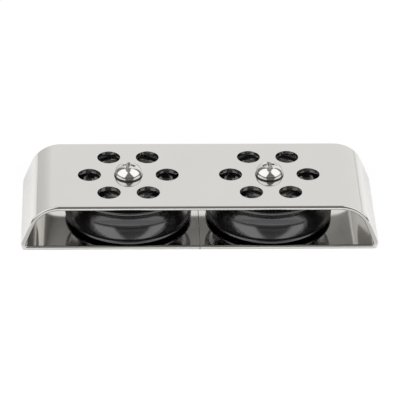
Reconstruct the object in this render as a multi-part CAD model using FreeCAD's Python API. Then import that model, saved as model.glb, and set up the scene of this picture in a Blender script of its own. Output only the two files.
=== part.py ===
import FreeCAD, Part
import math
import os

# Rope deck organizer: one folded stainless band that houses two grooved sheaves side by
# side, each turning on a caged roller bearing about its own mounting screw.
# Millimetres. +Z up, origin at the centre of the base's underside, +X along the two
# sheaves, +Y the way the ropes run through.

# Rope and sheave
ROPE_DIAMETER = 11.0
TREAD_CLEARANCE = 1.95
ROPE_SIDE_ROOM = 0.8
SHEAVE_RADIUS = 27.0
FLANGE_LAND = 1.45
FLANGE_FLARE_DEG = 5.0
FLANGE_THICKNESS = 1.25
RIM_ROUND = 0.4
SHEAVE_SPACING_GAP = 6.0

# Shallow channels turned in the sheave's two faces
FACE_CHANNEL_DEPTH = 0.6
FACE_CHANNEL_WIDTH = 3.4
FACE_RIB_WIDTH = 1.1
FACE_CHANNEL_COUNT = 2
FACE_LAND = 1.6

# Mounting screw, pan head with a cross recess
SCREW_RADIUS = 3.0
SCREW_LENGTH = 35.0
THREAD_RADIUS = 2.94
THREAD_CHAMFER = 0.6
RELIEF_RADIUS = 2.5
RELIEF_WIDTH = 1.4
RELIEF_BELOW_BASE = 0.2
HEAD_RADIUS = 5.85
HEAD_HEIGHT = 4.6
HEAD_RIM = 0.5
HEAD_EDGE_ROUND = 0.2
HEAD_SHOULDER_RADIUS = 3.2
RECESS_REACH = 3.05
RECESS_SLOT = 1.5
RECESS_DEPTH = 2.8
RECESS_TAPER = 0.45
RECESS_TURN_DEG = 8.0
SCREW_CLEARANCE = 0.2
SEAL_THICKNESS = 0.5
SEAL_OVERHANG = 0.2

# Roller bearing inside each sheave
HUB_WALL = 3.05
ROLLER_RADIUS = 2.2
ROLLER_CHAMFER = 0.3
RUNNING_CLEARANCE = 0.05
RACE_WALL = 1.4
SEAT_CLEARANCE = 0.02
RETAINER_THICKNESS = 1.5
RETAINER_OVERLAP = 0.8
RETAINER_HUB_GAP = 0.4
CAGE_WALL = 1.6
CAGE_BAR = 1.1
CAGE_END = 1.0
POCKET_CLEARANCE = 0.1
UPPER_WASHER_THICKNESS = 0.55
LOWER_WASHER_THICKNESS = 1.35
WASHER_OVERHANG = 2.7
AXIAL_CLEARANCE = 0.2

# Folded band
SHEET = 2.0
SHEAVE_PROUD = 1.0
END_ROOM = 2.3
WALL_LEAN_DEG = 22.0
SHOULDER_RADIUS = 11.6
FOOT_RADIUS = 0.8
SEAM_GAP = 0.3
EDGE_ROUND = 0.65
VENT_COUNT = 6
VENT_RADIUS = 4.9
VENT_BREAK = 0.15

# How far a cutting tool reaches past the surface that it cuts
TOOL_REACH = 1.0

# Sizes that follow from the ones above
groove_radius = ROPE_DIAMETER / 2 + TREAD_CLEARANCE
groove_half = ROPE_DIAMETER / 2 + ROPE_SIDE_ROOM
groove_edge = SHEAVE_RADIUS - FLANGE_LAND
tread_radius = groove_edge - groove_radius + math.sqrt(groove_radius ** 2 - groove_half ** 2)
sheave_half = groove_half + FLANGE_THICKNESS
hub_half = sheave_half + AXIAL_CLEARANCE
inner_height = LOWER_WASHER_THICKNESS + 2 * hub_half + UPPER_WASHER_THICKNESS
housing_height = inner_height + 2 * SHEET
mid_height = housing_height / 2
sheave_height = SHEET + LOWER_WASHER_THICKNESS + hub_half
housing_width = 2 * (SHEAVE_RADIUS - SHEAVE_PROUD)
screw_spacing = 2 * SHEAVE_RADIUS + SHEAVE_SPACING_GAP
end_wall_at_mid = screw_spacing / 2 + SHEAVE_RADIUS + ROPE_DIAMETER + END_ROOM
seal_radius = HEAD_RADIUS + SEAL_OVERHANG
head_seat = housing_height + SEAL_THICKNESS
vent_pitch_radius = (SHEAVE_RADIUS + seal_radius) / 2

screw_bore = SCREW_RADIUS + SCREW_CLEARANCE
hub_radius = screw_bore + HUB_WALL
pitch_radius = hub_radius + RUNNING_CLEARANCE + ROLLER_RADIUS
race_bore = pitch_radius + ROLLER_RADIUS + RUNNING_CLEARANCE
race_radius = race_bore + RACE_WALL
race_half = sheave_half - RETAINER_THICKNESS
retainer_radius = race_radius + RETAINER_OVERLAP
cage_half = race_half - RUNNING_CLEARANCE
roller_half = cage_half - CAGE_END - POCKET_CLEARANCE

origin = FreeCAD.Vector(0, 0, 0)
axis_x = FreeCAD.Vector(1, 0, 0)
axis_z = FreeCAD.Vector(0, 0, 1)


def at(x, z):
    """A point of a section drawn in the XZ plane."""
    return FreeCAD.Vector(x, 0, z)


def line(start, end):
    """A straight edge between two (x, z) points."""
    return Part.makeLine(at(*start), at(*end))


def arc_through(start, middle, end):
    """A circular edge through three (x, z) points."""
    return Part.Arc(at(*start), at(*middle), at(*end)).toShape()


def rounded_run(points):
    """Straight edges through (x, z, radius) points, each corner rounded by its own radius.

    The radius of the first and the last point is not used.
    """
    edges = []
    reached = points[0][:2]
    for before, corner, after in zip(points, points[1:], points[2:]):
        x, z, radius = corner
        if radius > 0:
            way_in = unit(x - before[0], z - before[1])
            way_out = unit(after[0] - x, after[1] - z)
            turn = math.acos(way_in[0] * way_out[0] + way_in[1] * way_out[1])
            reach = radius * math.tan(turn / 2)
            depth = radius / math.cos(turn / 2) - radius
            inward = unit(way_out[0] - way_in[0], way_out[1] - way_in[1])
            start = (x - way_in[0] * reach, z - way_in[1] * reach)
            middle = (x + inward[0] * depth, z + inward[1] * depth)
            end = (x + way_out[0] * reach, z + way_out[1] * reach)
            edges += [line(reached, start), arc_through(start, middle, end)]
            reached = end
        else:
            edges.append(line(reached, (x, z)))
            reached = (x, z)
    return edges + [line(reached, points[-1][:2])]


def unit(x, z):
    """The direction of (x, z) with a length of one."""
    length = math.hypot(x, z)
    return x / length, z / length


def mirrored(edges, normal):
    """The edges reflected in the plane through the origin with this normal."""
    return [edge.mirror(origin, normal) for edge in edges]


def closed_face(edges):
    """The flat face inside a closed run of edges."""
    return Part.Face(Part.Wire(Part.sortEdges(edges)[0]))


def polygon_face(points):
    """The flat face inside straight sides through the given (x, z) points."""
    corners = [at(x, z) for x, z in points]
    return Part.Face(Part.makePolygon(corners + corners[:1]))


def turned(face):
    """The solid swept by a section turned once round the Z axis."""
    return face.revolve(origin, axis_z, 360)


def ring(inner, outer, low, high):
    """A plain ring about the Z axis."""
    return turned(polygon_face([(inner, low), (outer, low), (outer, high), (inner, high)]))


def band_outline(offset):
    """One side of the band's section, offset outwards from its inner surface.

    Returns the edges from one lip of the seam round to the other, and the seam's (x, z).
    The end walls lean outwards towards the base.
    """
    lean = math.radians(WALL_LEAN_DEG)
    top = housing_height - SHEET + offset
    bottom = SHEET - offset
    wall = end_wall_at_mid + offset / math.cos(lean)
    seam = (SEAM_GAP / 2, bottom)
    foot = (wall + (mid_height - bottom) * math.tan(lean), bottom, FOOT_RADIUS + offset)
    shoulder = (wall - (top - mid_height) * math.tan(lean), top, SHOULDER_RADIUS + offset)
    right = rounded_run([(*seam, 0), foot, shoulder, (0, top, 0)])
    return right + mirrored(right, axis_x), seam


def housing():
    """The band: a strip folded round into a flat loop, its two ends butting under the base."""
    inner, inner_seam = band_outline(0)
    outer, outer_seam = band_outline(SHEET)
    lip = [line(inner_seam, outer_seam)]
    section = closed_face(inner + outer + lip + mirrored(lip, axis_x))
    section.translate(FreeCAD.Vector(0, -housing_width / 2, 0))
    band = section.extrude(FreeCAD.Vector(0, housing_width, 0)).removeSplitter()
    band = band.makeFillet(min(EDGE_ROUND, 0.45 * SHEET), band_rims(band))
    for side in (-1, 1):
        place = FreeCAD.Vector(side * screw_spacing / 2, 0, 0)
        for tool in vent_tools() + [screw_hole_tool()]:
            band = band.cut(tool.translated(place))
    return band


def band_rims(band):
    """The edges round the band's two open sides, apart from the short ones at the seam."""
    tiny = 1e-6
    rims = []
    for edge in band.Edges:
        box = edge.BoundBox
        at_side = box.YLength < tiny and abs(abs(box.YMin) - housing_width / 2) < tiny
        at_seam = box.XLength < tiny and abs(box.XMin) < SEAM_GAP
        if at_side and not at_seam:
            rims.append(edge)
    return rims


def vent_tools():
    """The ring of flushing holes through the cover, each with its edges broken top and bottom."""
    high = housing_height
    low = housing_height - SHEET
    wide = VENT_RADIUS + VENT_BREAK
    flare = wide + TOOL_REACH
    hole = turned(polygon_face([
        (0, low - TOOL_REACH), (flare, low - TOOL_REACH), (wide, low), (VENT_RADIUS, low + VENT_BREAK),
        (VENT_RADIUS, high - VENT_BREAK), (wide, high), (flare, high + TOOL_REACH), (0, high + TOOL_REACH),
    ]))
    return [hole.translated(place) for place in round_places(vent_pitch_radius, VENT_COUNT)]


def round_places(radius, count):
    """Evenly spaced places on a circle about the Z axis, the first one on +X."""
    angles = [2 * math.pi * index / count for index in range(count)]
    return [FreeCAD.Vector(radius * math.cos(a), radius * math.sin(a), 0) for a in angles]


def screw_hole_tool():
    """The hole for the mounting screw through cover and base."""
    bottom = FreeCAD.Vector(0, 0, -TOOL_REACH)
    return Part.makeCylinder(screw_bore, housing_height + 2 * TOOL_REACH, bottom)


def sheave():
    """The grooved wheel, turned from one section.

    A wide arc for the ropes between two thin flanges, with lands that flare a little, rounded
    rims, shallow channels in both faces, and a bore stepped for the outer race and the two
    retainers.
    """
    lip_z = groove_half + FLANGE_LAND * math.tan(math.radians(FLANGE_FLARE_DEG))
    rim = min(RIM_ROUND, 0.45 * (sheave_half - lip_z))
    seat = retainer_radius + SEAT_CLEARANCE
    bore = race_radius + SEAT_CLEARANCE
    upper = [(groove_edge, groove_half, 0), (SHEAVE_RADIUS, lip_z, rim), (SHEAVE_RADIUS, sheave_half, rim)]
    floor = sheave_half - FACE_CHANNEL_DEPTH
    step = FACE_CHANNEL_WIDTH + FACE_RIB_WIDTH
    for index in reversed(range(FACE_CHANNEL_COUNT)):
        near = seat + FACE_LAND + index * step
        far = near + FACE_CHANNEL_WIDTH
        upper += [(far, sheave_half, 0), (far, floor, 0), (near, floor, 0), (near, sheave_half, 0)]
    upper += [(seat, sheave_half, 0), (seat, race_half, 0), (bore, race_half, 0), (bore, 0, 0)]
    half = rounded_run(upper)
    groove = arc_through((groove_edge, -groove_half), (tread_radius, 0), (groove_edge, groove_half))
    return turned(closed_face(half + mirrored(half, axis_z) + [groove])).removeSplitter()


def race():
    """The outer race: a hard ring pressed into the sheave's bore."""
    return ring(race_bore, race_radius, -race_half, race_half)


def retainer(side):
    """A snap-in ring flush with the sheave's face, which keeps the rollers in."""
    faces = sorted([side * race_half, side * sheave_half])
    return ring(hub_radius + RETAINER_HUB_GAP, retainer_radius, faces[0], faces[1])


def hub():
    """The inner race: a sleeve on the mounting screw, clamped between cover and base."""
    return ring(screw_bore, hub_radius, -hub_half, hub_half)


def washer(low, thickness):
    """A thrust washer between the hub's end and the sheet beside it."""
    return ring(screw_bore, hub_radius + WASHER_OVERHANG, low, low + thickness)


def seal():
    """The thin black washer between the screw's head and the cover."""
    return ring(screw_bore, seal_radius, housing_height, head_seat)


def roller_count():
    """As many rollers as leave a full bar of the cage between neighbours."""
    pocket = 2 * (ROLLER_RADIUS + POCKET_CLEARANCE)
    return int(math.pi / math.asin((pocket + CAGE_BAR) / 2 / pitch_radius))


def rollers():
    """The rollers of one bearing, each a cylinder with chamfered ends."""
    flat = ROLLER_RADIUS - ROLLER_CHAMFER
    shoulder = roller_half - ROLLER_CHAMFER
    one = turned(polygon_face([
        (0, -roller_half), (flat, -roller_half), (ROLLER_RADIUS, -shoulder),
        (ROLLER_RADIUS, shoulder), (flat, roller_half), (0, roller_half),
    ]))
    places = round_places(pitch_radius, roller_count())
    return Part.makeCompound([one.translated(place) for place in places])


def cage():
    """The roller cage: a ring with one round-sided pocket for each roller."""
    body = ring(pitch_radius - CAGE_WALL / 2, pitch_radius + CAGE_WALL / 2, -cage_half, cage_half)
    depth = roller_half + POCKET_CLEARANCE
    pocket = Part.makeCylinder(ROLLER_RADIUS + POCKET_CLEARANCE, 2 * depth, FreeCAD.Vector(0, 0, -depth))
    for place in round_places(pitch_radius, roller_count()):
        body = body.cut(pocket.translated(place))
    return body


def cross_outline(size, z):
    """The closed outline of a four-armed cross at height z, scaled by size."""
    reach = RECESS_REACH * size
    half_slot = RECESS_SLOT * size / 2
    points = []
    for arm in range(4):
        turn = FreeCAD.Rotation(FreeCAD.Vector(0, 0, 1), 90 * arm)
        for along, aside in ((reach, -half_slot), (reach, half_slot), (half_slot, half_slot)):
            points.append(turn.multVec(FreeCAD.Vector(along, aside, z)))
    return Part.makePolygon(points + points[:1])


def recess():
    """The cross recess, widening from its floor at z = 0 to past the crown of the head."""
    mouth = RECESS_DEPTH + TOOL_REACH
    growth = (1 - RECESS_TAPER) / RECESS_DEPTH
    floor = cross_outline(RECESS_TAPER, 0)
    return Part.makeLoft([floor, cross_outline(1 + growth * TOOL_REACH, mouth)], True, True)


def screw(turn_deg):
    """The pan-head mounting screw: its head on the seal, its threaded end below the base.

    The head's section is a rounded lower edge, a short upright rim, a shoulder arc, and a crown
    arc that is tangent to the shoulder and centred on the axis.
    """
    seat = head_seat
    tip = seat - SCREW_LENGTH
    relief_low = -RELIEF_BELOW_BASE
    relief_high = relief_low + RELIEF_WIDTH
    top = seat + HEAD_HEIGHT
    domed = HEAD_HEIGHT - HEAD_RIM
    shoulder = min(HEAD_SHOULDER_RADIUS, 0.85 * domed)
    inset = HEAD_RADIUS - shoulder
    crown = (inset ** 2 + domed ** 2 - shoulder ** 2) / (2 * (domed - shoulder))
    crown_z = top - crown
    shoulder_z = seat + HEAD_RIM
    blend = math.atan2(shoulder_z - crown_z, inset)
    edge = min(HEAD_EDGE_ROUND, 0.8 * HEAD_RIM)

    def on_shoulder(angle):
        return inset + shoulder * math.cos(angle), shoulder_z + shoulder * math.sin(angle)

    def on_crown(angle):
        return crown * math.cos(angle), crown_z + crown * math.sin(angle)

    shank = rounded_run([
        (0, top, 0), (0, tip, 0), (THREAD_RADIUS - THREAD_CHAMFER, tip, 0),
        (THREAD_RADIUS, tip + THREAD_CHAMFER, 0), (THREAD_RADIUS, relief_low, 0),
        (RELIEF_RADIUS, relief_low, 0), (RELIEF_RADIUS, relief_high, 0), (SCREW_RADIUS, relief_high, 0),
        (SCREW_RADIUS, seat, 0), (HEAD_RADIUS, seat, edge), (HEAD_RADIUS, shoulder_z, 0),
    ])
    head = [
        arc_through(on_shoulder(0), on_shoulder(blend / 2), on_shoulder(blend)),
        arc_through(on_crown(blend), on_crown((blend + math.pi / 2) / 2), (0, top)),
    ]
    tool = recess().translated(FreeCAD.Vector(0, 0, top - RECESS_DEPTH))
    tool.rotate(origin, axis_z, turn_deg)
    return turned(closed_face(shank + head)).cut(tool)


def write(name, shape, x=0.0, z=0.0):
    """Move a piece to its place and save it as its own node."""
    placed = shape.translated(FreeCAD.Vector(x, 0, z))
    placed.exportStep("parts/" + name + ".step")


def main():
    """Make every piece of the organizer."""
    os.makedirs("parts", exist_ok=True)
    write("housing", housing())
    for name, side in (("left", -1), ("right", 1)):
        x = side * screw_spacing / 2
        write(name + "_sheave", sheave(), x, sheave_height)
        write(name + "_outer_race", race(), x, sheave_height)
        write(name + "_upper_retainer", retainer(1), x, sheave_height)
        write(name + "_lower_retainer", retainer(-1), x, sheave_height)
        write(name + "_roller_cage", cage(), x, sheave_height)
        write(name + "_rollers", rollers(), x, sheave_height)
        write(name + "_hub_sleeve", hub(), x, sheave_height)
        write(name + "_upper_washer", washer(hub_half, UPPER_WASHER_THICKNESS), x, sheave_height)
        write(name + "_lower_washer", washer(SHEET, LOWER_WASHER_THICKNESS), x)
        write(name + "_seal_washer", seal(), x)
        write(name + "_screw", screw(side * RECESS_TURN_DEG), x)


main()
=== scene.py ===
import logging
import math
from dataclasses import dataclass
from enum import Enum
from typing import Iterable, Optional, Sequence, Union

import bmesh
import bpy
from mathutils import Matrix, Vector


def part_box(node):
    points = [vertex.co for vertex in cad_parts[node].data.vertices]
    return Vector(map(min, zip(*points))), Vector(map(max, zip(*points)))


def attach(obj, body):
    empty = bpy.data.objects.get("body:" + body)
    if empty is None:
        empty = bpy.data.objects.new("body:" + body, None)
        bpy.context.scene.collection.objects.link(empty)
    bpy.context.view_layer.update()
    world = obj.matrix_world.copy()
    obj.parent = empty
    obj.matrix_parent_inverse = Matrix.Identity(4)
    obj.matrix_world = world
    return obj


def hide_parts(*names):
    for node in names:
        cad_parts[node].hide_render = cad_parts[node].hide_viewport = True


# A rope deck organizer: one folded stainless band round two grooved sheaves, each on a roller
# bearing and its own mounting screw. Metres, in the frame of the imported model: the origin is
# the centre of the base's underside, +X runs along the two sheaves, +Y the way the ropes run.

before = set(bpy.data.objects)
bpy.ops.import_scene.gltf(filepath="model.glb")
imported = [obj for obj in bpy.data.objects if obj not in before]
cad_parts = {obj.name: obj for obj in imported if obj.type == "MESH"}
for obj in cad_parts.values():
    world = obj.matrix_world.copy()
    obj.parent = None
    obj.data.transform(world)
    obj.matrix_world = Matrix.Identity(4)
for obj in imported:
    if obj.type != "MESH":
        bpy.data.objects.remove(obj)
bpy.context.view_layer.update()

log = logging.getLogger("deck_organizer")

Colour = tuple[float, float, float]
Point = tuple[float, float]
Corner = tuple[float, float, float]

ORIGIN = Vector((0.0, 0.0, 0.0))
SCREW_SPACING = 0.06
CLEAR = 0.001  # how far a cutting body reaches past what it cuts
WELD = 2e-6  # points nearer than this become one
TINY = 1e-7
WHITE = (1.0, 1.0, 1.0, 1.0)
TOOL_SEGMENTS = 64  # how many steps a cutting cylinder's turn has
EDGE_STEP = 22.5  # the largest turn between two chords of a small edge, in degrees
SHARP_TURN = 32.0  # an edge that turns more than this stays sharp, in degrees
FLAT_WEIGHT = 90  # how much the large faces count in the shading of an edge
CLOUDS = (0.3, 0.7)  # between which values a noise darkens the colour

Tree = bpy.types.NodeTree
Node = bpy.types.Node
Socket = bpy.types.NodeSocket
Object = bpy.types.Object


class Side(Enum):
    """The two sheaves, by the side that they are on."""

    LEFT = "left"
    RIGHT = "right"

    @property
    def sign(self) -> int:
        """The sign of this side's x."""
        return 1 if self is Side.RIGHT else -1

    def node(self, part: str) -> str:
        """The name of this side's CAD node for a part."""
        return f"{self.value}_{part}"

    def axis(self) -> Vector:
        """The place of this side's screw axis on the base's underside."""
        low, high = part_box(self.node("sheave"))
        return Vector(((low.x + high.x) / 2, 0.0, 0.0))


class Number:
    """A number in a node tree, worked out with Python's own operators.

    Args:
        tree: The shader or geometry tree that holds it.
        source: The socket that gives it, or a plain number.
    """

    def __init__(self, tree: Tree, source: Union[Socket, float]) -> None:
        """Keep the tree and what gives the number."""
        self.tree = tree
        self.source = source

    def math(self, operation: str, *others: "Operand") -> "Number":
        """This number as the first operand of a Math node.

        Args:
            operation: The Math node's operation.
            others: The other operands.

        Returns:
            The node's result.
        """
        node = self.tree.nodes.new("ShaderNodeMath")
        node.operation = operation
        for socket, value in zip(node.inputs, (self, *others)):
            feed(self.tree, value, socket)
        return Number(self.tree, node.outputs[0])

    def __add__(self, other: "Operand") -> "Number":
        """The sum."""
        return self.math("ADD", other)

    def __sub__(self, other: "Operand") -> "Number":
        """The difference."""
        return self.math("SUBTRACT", other)

    def __rsub__(self, other: float) -> "Number":
        """A plain number less this one."""
        return Number(self.tree, other).math("SUBTRACT", self)

    def __mul__(self, other: "Operand") -> "Number":
        """The product."""
        return self.math("MULTIPLY", other)

    def __truediv__(self, other: "Operand") -> "Number":
        """The quotient."""
        return self.math("DIVIDE", other)

    def ramp(self, start: float, end: float, low: "Operand" = 0.0, high: "Operand" = 1.0,
             smooth: bool = True) -> "Number":
        """This number mapped from one range to another, and held at its ends.

        Args:
            start: The value that gives low.
            end: The value that gives high.
            low: The result at start.
            high: The result at end.
            smooth: Whether the way between is eased at both ends.

        Returns:
            The mapped number.
        """
        node = self.tree.nodes.new("ShaderNodeMapRange")
        node.interpolation_type = "SMOOTHSTEP" if smooth else "LINEAR"
        node.clamp = True
        for name, value in (("Value", self), ("From Min", start), ("From Max", end),
                            ("To Min", low), ("To Max", high)):
            feed(self.tree, value, node.inputs[name])
        return Number(self.tree, node.outputs["Result"])

    def above(self, limit: float, soft: float) -> "Number":
        """1 where this number is above a limit, eased over soft on both sides of it."""
        return self.ramp(limit - soft, limit + soft)

    def below(self, limit: float, soft: float) -> "Number":
        """1 where this number is below a limit, eased over soft on both sides of it."""
        return self.ramp(limit + soft, limit - soft)

    def parts(self) -> tuple["Number", "Number", "Number"]:
        """The x, y and z of this number, where it is a vector."""
        node = add_node(self.tree, "ShaderNodeSeparateXYZ", Vector=self)
        return tuple(Number(self.tree, node.outputs[name]) for name in "XYZ")

    def blend(self, other: "Operand", share: "Number") -> "Number":
        """This number where share is 0, the other where it is 1."""
        return self * (1.0 - share) + share * other


Operand = Union[Number, float]


def feed(tree: Tree, value: object, socket: Socket) -> None:
    """Give a socket its value.

    Args:
        tree: The tree that the socket is in.
        value: A Number, a socket to link from, or a plain value.
        socket: The input socket.
    """
    if isinstance(value, Number):
        value = value.source
    if isinstance(value, Socket):
        tree.links.new(value, socket)
    else:
        socket.default_value = value


def add_node(tree: Tree, kind: str, settings: Optional[dict] = None,
             **inputs: object) -> Node:
    """Add a node with its settings and inputs.

    Args:
        tree: The tree to add it to.
        kind: The node's type name.
        settings: The node's own properties.
        inputs: Values by input name, with underscores for spaces.

    Returns:
        The new node.
    """
    node = tree.nodes.new(kind)
    for name, value in (settings or {}).items():
        setattr(node, name, value)
    for name, value in inputs.items():
        feed(tree, value, node.inputs[name.replace("_", " ")])
    return node


@dataclass(frozen=True)
class Finish:
    """What every finish has: its name, its colour and how rough it is."""

    name: str  # the material's name
    colour: Colour  # the base colour, linear
    roughness: float  # the mean roughness
    spread: float  # how far the roughness wanders from the mean

    def material(self) -> bpy.types.Material:
        """The finish as a node material, made the first time it is asked for.

        Returns:
            The material.
        """
        material = bpy.data.materials.get(self.name)
        if material is None:
            material = bpy.data.materials.new(self.name)
            material.use_nodes = True
            tree = material.node_tree
            place = add_node(tree, "ShaderNodeTexCoord").outputs["Object"]
            self.dress(tree.nodes["Principled BSDF"], Number(tree, place))
        return material

    def dress(self, shader: Node, place: Number) -> None:
        """Feed the shader. Each finish has its own way.

        Args:
            shader: The material's Principled shader.
            place: The object coordinates.
        """
        raise NotImplementedError

    def noise(self, place: Number, scale: float, seed: float, detail: float = 2.0) -> Number:
        """Seeded noise from 0 to 1.

        Args:
            place: The vector that it reads.
            scale: Its features per metre.
            seed: Its place in the fourth dimension.
            detail: How many finer layers it has.

        Returns:
            The noise.
        """
        node = add_node(place.tree, "ShaderNodeTexNoise", {"noise_dimensions": "4D"},
                        Vector=place, W=seed, Scale=scale, Detail=detail)
        return Number(place.tree, node.outputs["Fac"])

    def turned(self, place: Number) -> Number:
        """The radius round the nearer screw's axis, the height and zero, as one vector.

        Args:
            place: The object coordinates.

        Returns:
            The vector.
        """
        x, y, z = place.parts()
        x = x.math("ABSOLUTE") - SCREW_SPACING / 2
        vector = add_node(place.tree, "ShaderNodeCombineXYZ", X=(x * x + y * y).math("SQRT"), Y=z)
        return Number(place.tree, vector.outputs["Vector"])

    def coat(self, shader: Node, cloud: Number, darker: float, wander: Number, relief: Number,
             depth: float, reach: float = 0.2) -> None:
        """Feed the shader its colour, its roughness and its relief.

        Args:
            shader: The material's Principled shader.
            cloud: The noise that darkens the colour where it is low.
            darker: The share of the colour that is lost where it is lowest.
            wander: The noise that moves the roughness.
            relief: The surface's height, from 0 to 1.
            depth: How far that stands out, in metres.
            reach: How far from its middle the wandering noise gives the full spread.
        """
        tree = cloud.tree
        first, second, mixed = 6, 7, 2  # the places of the node's colour sockets
        tint = add_node(tree, "ShaderNodeMix", {"data_type": "RGBA"}, Factor=cloud.ramp(*CLOUDS))
        for socket, share in ((first, 1 - darker), (second, 1.0)):
            tint.inputs[socket].default_value = (*(channel * share for channel in self.colour), 1.0)
        rough = wander.ramp(0.5 - reach, 0.5 + reach, self.roughness - self.spread,
                            self.roughness + self.spread)
        bump = add_node(tree, "ShaderNodeBump", Height=relief, Distance=depth, Strength=1.0)
        feed(tree, tint.outputs[mixed], shader.inputs["Base Color"])
        feed(tree, rough, shader.inputs["Roughness"])
        feed(tree, bump.outputs["Normal"], shader.inputs["Normal"])


@dataclass(frozen=True)
class PolishedSheet(Finish):
    """Mirror-rolled stainless sheet: soft clouds of buffing and hairlines along its length."""

    cloud_scale: float = 45.0
    cloud_share: float = 0.02
    hairline_scale: float = 2600.0
    hairline_stretch: float = 0.012
    hairline_depth: float = 0.0000022

    def dress(self, shader: Node, place: Number) -> None:
        """Feed the shader with clouds and hairlines.

        Args:
            shader: The Principled shader.
            place: The object coordinates.
        """
        cloud = self.noise(place, self.cloud_scale, 1.0, detail=3.0)
        along = add_node(place.tree, "ShaderNodeMapping", Vector=place,
                         Scale=(self.hairline_stretch, 1.0, 1.0))
        hairs = self.noise(Number(place.tree, along.outputs["Vector"]), self.hairline_scale, 2.0)
        shader.inputs["Metallic"].default_value = 1.0
        self.coat(shader, cloud, self.cloud_share, cloud, hairs, self.hairline_depth)


@dataclass(frozen=True)
class TurnedSteel(Finish):
    """Steel turned or ground on a lathe: fine lines all round the axis."""

    line_scale: float = 5000.0
    line_depth: float = 0.000002
    cloud_scale: float = 220.0
    cloud_share: float = 0.04

    def dress(self, shader: Node, place: Number) -> None:
        """Feed the shader with lines round the axis and soft clouds.

        Args:
            shader: The Principled shader.
            place: The object coordinates.
        """
        lines = self.noise(self.turned(place), self.line_scale, 3.0, detail=3.0)
        cloud = self.noise(place, self.cloud_scale, 4.0)
        shader.inputs["Metallic"].default_value = 1.0
        self.coat(shader, cloud, self.cloud_share, cloud, lines, self.line_depth)


@dataclass(frozen=True)
class TurnedAcetal(Finish):
    """Black acetal turned on a lathe: a soft gloss with faint tool marks round the axis."""

    mark_scale: float = 2600.0
    mark_depth: float = 0.0000035
    cloud_scale: float = 160.0
    cloud_share: float = 0.25
    ior: float = 1.5

    def dress(self, shader: Node, place: Number) -> None:
        """Feed the shader with tool marks and handling clouds.

        Args:
            shader: The Principled shader.
            place: The object coordinates.
        """
        marks = self.noise(self.turned(place), self.mark_scale, 5.0)
        cloud = self.noise(place, self.cloud_scale, 6.0, detail=3.0)
        shader.inputs["IOR"].default_value = self.ior
        self.coat(shader, cloud, self.cloud_share, cloud, marks, self.mark_depth, reach=0.25)


@dataclass(frozen=True)
class NaturalNylon(Finish):
    """Moulded nylon in its own milky colour, a little see-through at its edges."""

    grain_scale: float = 900.0
    grain_depth: float = 0.000012
    cloud_scale: float = 150.0
    cloud_share: float = 0.06
    scatter: float = 0.25
    scatter_depth: float = 0.0012

    def dress(self, shader: Node, place: Number) -> None:
        """Feed the shader with a moulded grain and some scatter.

        Args:
            shader: The Principled shader.
            place: The object coordinates.
        """
        grain = self.noise(place, self.grain_scale, 7.0, detail=3.0)
        cloud = self.noise(place, self.cloud_scale, 8.0)
        shader.inputs["Subsurface Weight"].default_value = self.scatter
        shader.inputs["Subsurface Scale"].default_value = self.scatter_depth
        self.coat(shader, cloud, self.cloud_share, grain, grain, self.grain_depth)


HOUSING_FINISH = PolishedSheet("polished_sheet", (0.672, 0.657, 0.630), 0.075, 0.02)
SCREW_FINISH = TurnedSteel("mirror_screw_steel", (0.74, 0.725, 0.70), 0.04, 0.015,
                           line_scale=3000.0, line_depth=0.0000006)
BEARING_FINISH = TurnedSteel("ground_bearing_steel", (0.60, 0.60, 0.59), 0.22, 0.05)
ROLLER_FINISH = TurnedSteel("ground_roller_steel", (0.66, 0.66, 0.655), 0.16, 0.04)
WASHER_FINISH = TurnedSteel("stamped_washer_steel", (0.58, 0.58, 0.57), 0.30, 0.06,
                            line_scale=900.0, line_depth=0.000004)
# The wheels mirror more strongly than plain acetal, as a hard lacquer does.
SHEAVE_FINISH = TurnedAcetal("black_acetal", (0.007, 0.007, 0.0075), 0.16, 0.04, ior=2.0)
RETAINER_FINISH = TurnedAcetal("satin_black_acetal", (0.014, 0.014, 0.015), 0.32, 0.06,
                               mark_scale=1500.0)
SEAL_FINISH = TurnedAcetal("black_seal_nylon", (0.012, 0.012, 0.012), 0.42, 0.06,
                           mark_scale=1200.0)
CAGE_FINISH = NaturalNylon("natural_nylon", (0.70, 0.68, 0.60), 0.42, 0.06)


def arc(centre: Point, radius: float, start: float, end: float, steps: int) -> list[Corner]:
    """Points on a circle, as corners that aren't rounded.

    Args:
        centre: The circle's centre.
        radius: Its radius.
        start: The first point's angle, in radians.
        end: The last point's angle.
        steps: How many chords lie between them.

    Returns:
        The points, both ends among them.
    """
    angles = [start + (end - start) * step / steps for step in range(steps + 1)]
    return [(centre[0] + radius * math.cos(a), centre[1] + radius * math.sin(a), 0.0) for a in angles]


def rounded(corners: Sequence[Corner], closed: bool = True, step_deg: float = 15.0) -> list[Point]:
    """Turn corners with radii into the points of an outline.

    Args:
        corners: (across, along, radius) of each corner.
        closed: Whether the last corner joins the first. The ends of an open run stay sharp.
        step_deg: The largest turn between two chords of an arc.

    Returns:
        The outline's points in order.
    """
    points: list[Point] = []
    count = len(corners)
    for index, (x, y, radius) in enumerate(corners):
        inner = closed or 0 < index < count - 1
        if radius <= 0 or not inner:
            points.append((x, y))
            continue
        here = Vector((x, y))
        back = (Vector(corners[index - 1][:2]) - here).normalized()
        ahead = (Vector(corners[(index + 1) % count][:2]) - here).normalized()
        half = back.angle(ahead) / 2
        centre = here + (back + ahead).normalized() * (radius / math.sin(half))
        spoke = here + back * (radius / math.tan(half)) - centre
        sweep = math.copysign(math.pi - 2 * half, back.x * ahead.y - back.y * ahead.x)
        steps = max(2, math.ceil(math.degrees(abs(sweep)) / step_deg))
        for step in range(steps + 1):
            turn = Matrix.Rotation(-sweep * step / steps, 2)
            point = centre + turn @ spoke
            points.append((point.x, point.y))
    return points


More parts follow.
